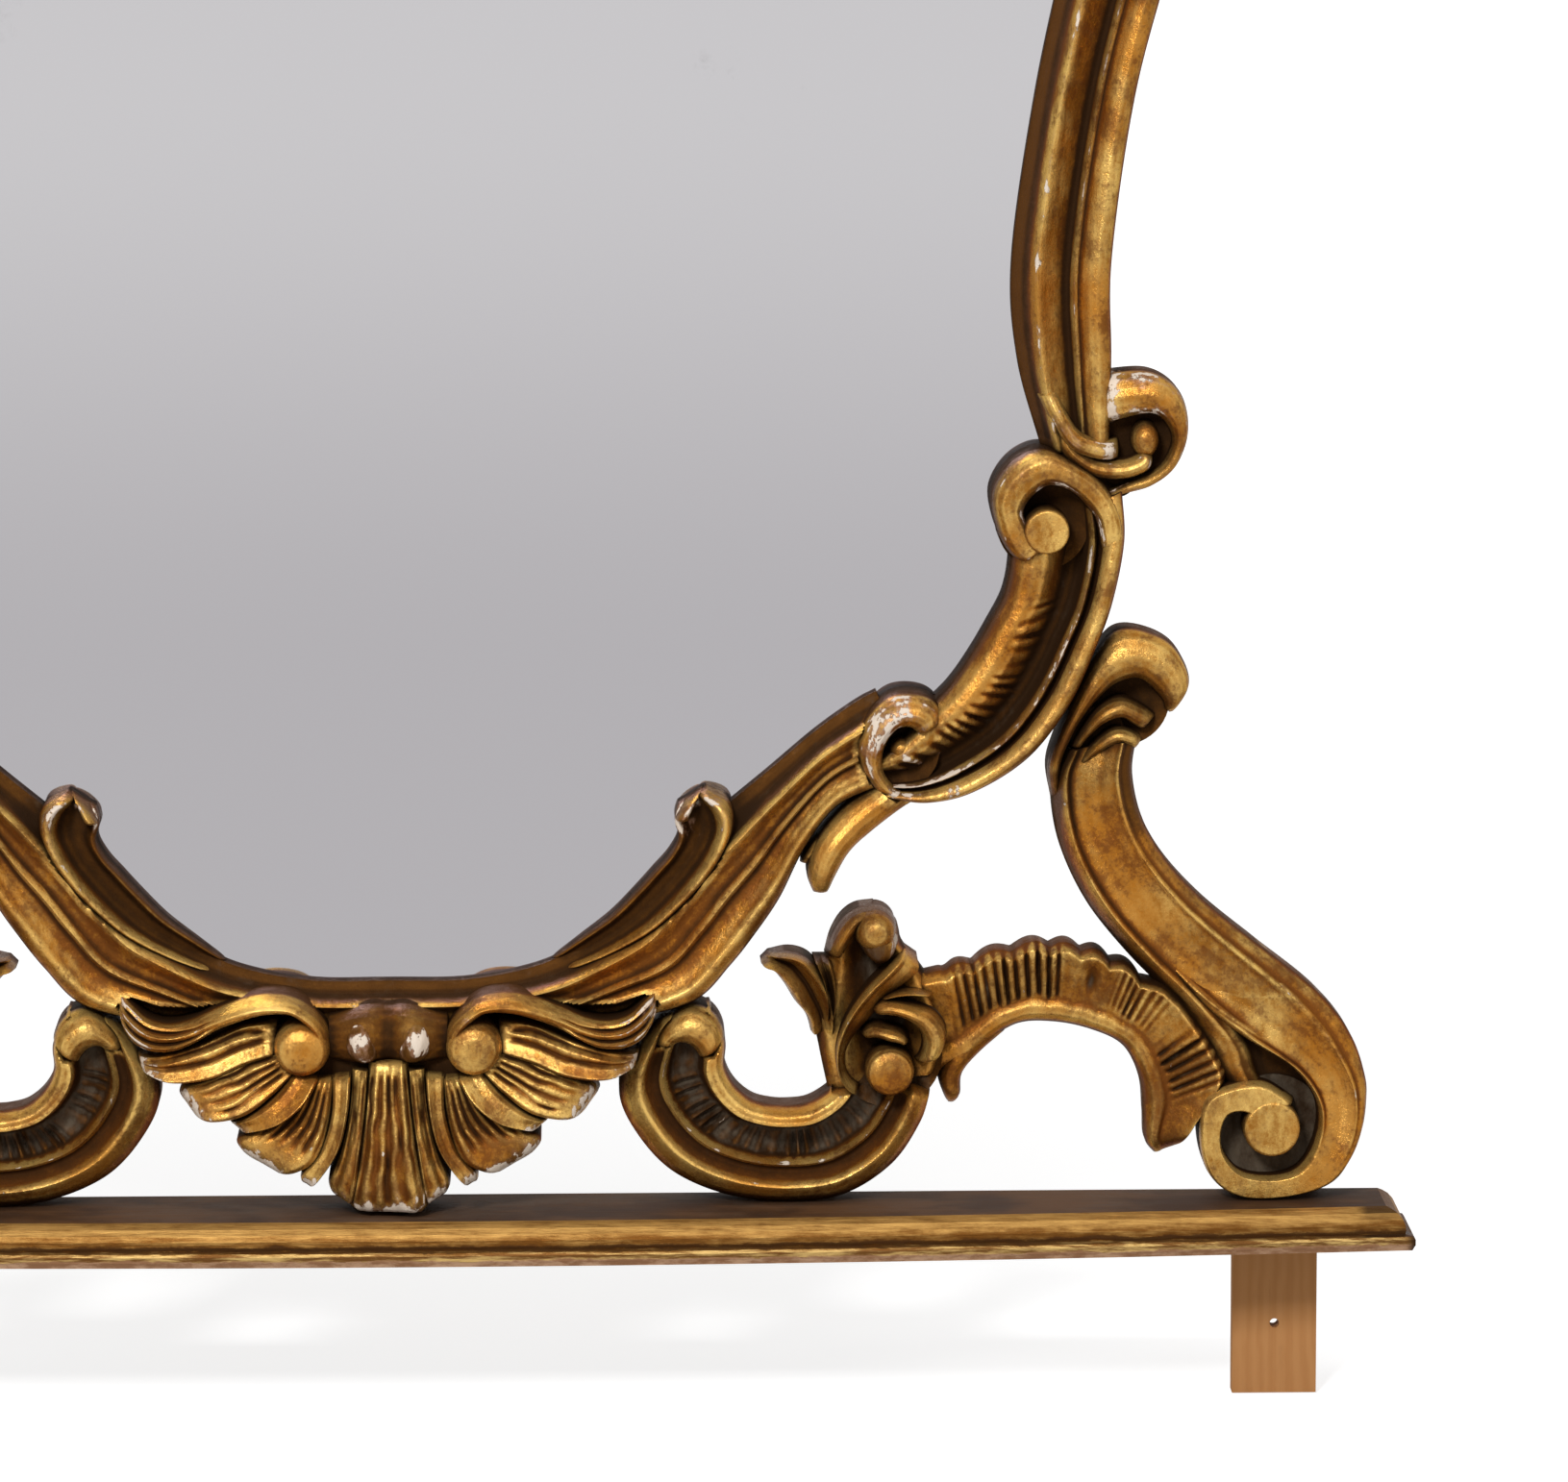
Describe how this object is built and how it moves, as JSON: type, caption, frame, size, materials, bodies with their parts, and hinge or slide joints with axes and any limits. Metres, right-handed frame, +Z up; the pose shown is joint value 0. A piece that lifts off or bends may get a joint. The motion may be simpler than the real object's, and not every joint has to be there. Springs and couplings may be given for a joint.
{
  "type": "pier mirror",
  "caption": "Carved and gilded rococo pier mirror on a bow-fronted shelf rail, with a shaped plate, pierced scroll apron, shell crest and rear wall battens.",
  "frame": {"origin": "middle of the shelf rail's underside, halfway through the rail's depth at its middle", "axes": "+X across the wall to the viewer's right, +Z up, the carved front faces -Y and the wall is towards +Y"},
  "size_m": [1.08, 0.0959, 1.4395],
  "materials": {
    "gilt_wood": "worn gilding on gesso",
    "shelf_wood": "dark and dusty",
    "batten_wood": "bare",
    "back_wood": "bare and aged",
    "mirror_plate": "silvered",
    "steel": "dull"
  },
  "bodies": {
    "root": {"rail_board": "shelf_wood", "rail_front_moulding": "gilt_wood", "rail_end_moulding_left": "gilt_wood", "rail_end_moulding_right": "gilt_wood", "batten_left": "batten_wood", "batten_right": "batten_wood", "batten_screws": "steel", "foot_scroll_left": "gilt_wood", "foot_scroll_right": "gilt_wood", "apron_scroll_left": "gilt_wood", "apron_scroll_right": "gilt_wood", "leafy_bud_left": "gilt_wood", "leafy_bud_right": "gilt_wood", "ribbed_arch_left": "gilt_wood", "ribbed_arch_right": "gilt_wood", "apron_shell": "gilt_wood", "apron_bridge": "gilt_wood", "lower_arc_left": "gilt_wood", "lower_arc_right": "gilt_wood", "lower_lip_leaf_left": "gilt_wood", "lower_lip_leaf_right": "gilt_wood", "drop_leaf_left": "gilt_wood", "drop_leaf_right": "gilt_wood", "corner_scroll_left": "gilt_wood", "corner_scroll_right": "gilt_wood", "stile_left": "gilt_wood", "stile_right": "gilt_wood", "shoulder_scroll_left": "gilt_wood", "shoulder_scroll_right": "gilt_wood", "top_arc_left": "gilt_wood", "top_arc_right": "gilt_wood", "upper_lip_leaf_left": "gilt_wood", "upper_lip_leaf_right": "gilt_wood", "crest_scroll_left": "gilt_wood", "crest_scroll_right": "gilt_wood", "shoulder_leaf_left": "gilt_wood", "shoulder_leaf_right": "gilt_wood", "crest_shell": "gilt_wood", "crest_bridge": "gilt_wood", "mirror_plate": "mirror_plate", "backing_bottom": "back_wood", "backing_left": "back_wood", "backing_right": "back_wood", "backing_top": "back_wood", "lap_screws": "steel", "glass_blocks": "back_wood", "backboard_lower": "back_wood", "backboard_middle": "back_wood", "backboard_upper": "back_wood", "backboard_screws": "steel"}
  },
  "joints": []
}
